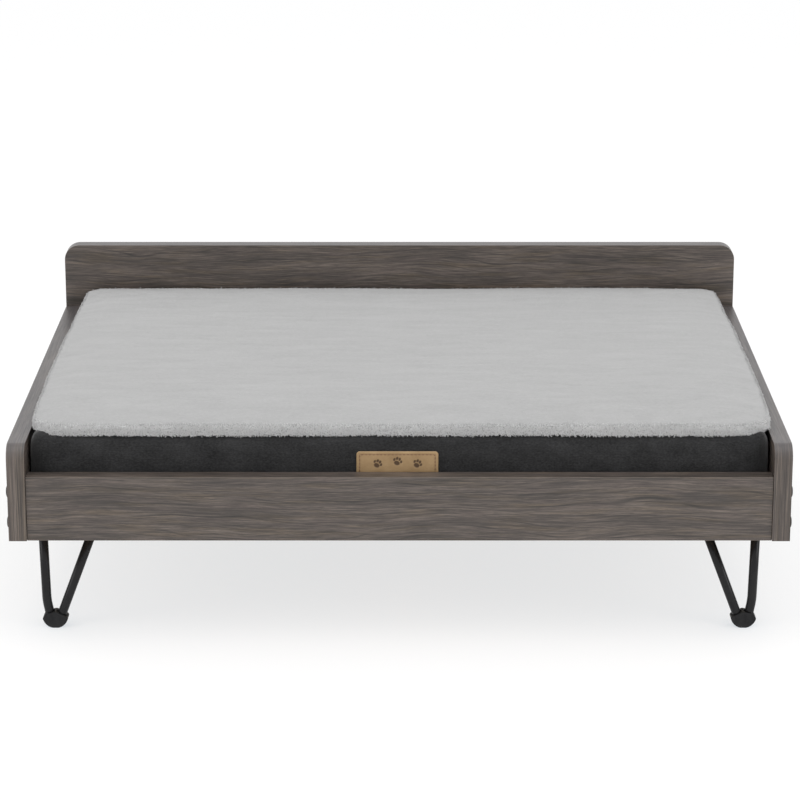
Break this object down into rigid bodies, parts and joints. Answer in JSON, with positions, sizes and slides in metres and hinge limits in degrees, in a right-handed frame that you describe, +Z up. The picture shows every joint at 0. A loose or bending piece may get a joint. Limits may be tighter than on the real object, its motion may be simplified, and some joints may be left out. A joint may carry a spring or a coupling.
{
  "type": "dog bed with frame",
  "caption": "Low raised dog bed: wood-grain frame with headboard on black hairpin legs, and a lift-out mattress with grey plush top, charcoal band and leather patch.",
  "frame": {"origin": "middle of the footprint, on the floor", "axes": "+Z up, +X towards the bed's right-hand side seen from the front, +Y from the low front board to the headboard"},
  "size_m": [0.7864, 0.58, 0.282],
  "materials": {
    "laminate": "grey-brown wood-grain laminate, satin",
    "plywood": "raw plywood",
    "pine": "raw planed softwood",
    "black_steel": "black powder coat, semi-gloss",
    "black_rubber": "matt moulded",
    "bronzed_steel": "dark bronze plated",
    "zinc": "zinc plated",
    "foam": "open-cell foam",
    "charcoal_cloth": "brushed woven",
    "black_cloth": "plain woven",
    "grey_plush": "short brushed pile",
    "tan_leather": "smooth with brown stitching"
  },
  "bodies": {
    "frame": {"headboard": "laminate", "side_panel_left": "laminate", "side_panel_right": "laminate", "front_board": "laminate", "base_panel": "plywood", "batten_front": "pine", "batten_rear": "pine", "batten_left": "pine", "batten_right": "pine", "centre_rail": "pine", "bolt_front_left_upper": "bronzed_steel", "bolt_front_left_lower": "bronzed_steel", "bolt_front_right_upper": "bronzed_steel", "bolt_front_right_lower": "bronzed_steel", "bolt_rear_left_upper": "bronzed_steel", "bolt_rear_left_lower": "bronzed_steel", "bolt_rear_right_upper": "bronzed_steel", "bolt_rear_right_lower": "bronzed_steel", "barrel_nut_front_left_upper": "zinc", "barrel_nut_front_left_lower": "zinc", "barrel_nut_front_right_upper": "zinc", "barrel_nut_front_right_lower": "zinc", "barrel_nut_rear_left_upper": "zinc", "barrel_nut_rear_left_lower": "zinc", "barrel_nut_rear_right_upper": "zinc", "barrel_nut_rear_right_lower": "zinc", "leg_plate_front_left": "black_steel", "leg_plate_front_right": "black_steel", "leg_plate_rear_left": "black_steel", "leg_plate_rear_right": "black_steel", "leg_rod_front_left": "black_steel", "leg_rod_front_right": "black_steel", "leg_rod_rear_left": "black_steel", "leg_rod_rear_right": "black_steel", "foot_cap_front_left": "black_rubber", "foot_cap_front_right": "black_rubber", "foot_cap_rear_left": "black_rubber", "foot_cap_rear_right": "black_rubber", "leg_screw_front_left_outer": "zinc", "leg_screw_front_left_middle": "zinc", "leg_screw_front_left_inner": "zinc", "leg_screw_front_right_outer": "zinc", "leg_screw_front_right_middle": "zinc", "leg_screw_front_right_inner": "zinc", "leg_screw_rear_left_outer": "zinc", "leg_screw_rear_left_middle": "zinc", "leg_screw_rear_left_inner": "zinc", "leg_screw_rear_right_outer": "zinc", "leg_screw_rear_right_middle": "zinc", "leg_screw_rear_right_inner": "zinc"},
    "mattress": {"mattress_base_cloth": "black_cloth", "mattress_side_band": "charcoal_cloth", "foam_core": "foam", "plush_top": "grey_plush", "leather_patch": "tan_leather", "zip_tape": "black_cloth"},
    "zip_slider": {"zip_slider": "zinc"},
    "zip_pull": {"zip_pull": "zinc"}
  },
  "joints": [
    {"name": "mattress_lift", "type": "slide", "parent": "frame", "child": "mattress", "axis": [0, 0, 1], "range_m": [0, 0.2]},
    {"name": "zip_travel", "type": "slide", "parent": "mattress", "child": "zip_slider", "axis": [1, 0, 0], "range_m": [0, 0.605]},
    {"name": "zip_pull_swing", "type": "hinge", "parent": "zip_slider", "child": "zip_pull", "pos_m": [-0.3025, 0.2601, 0.178], "axis": [0, 0, -1], "range_deg": [0, 170]}
  ]
}
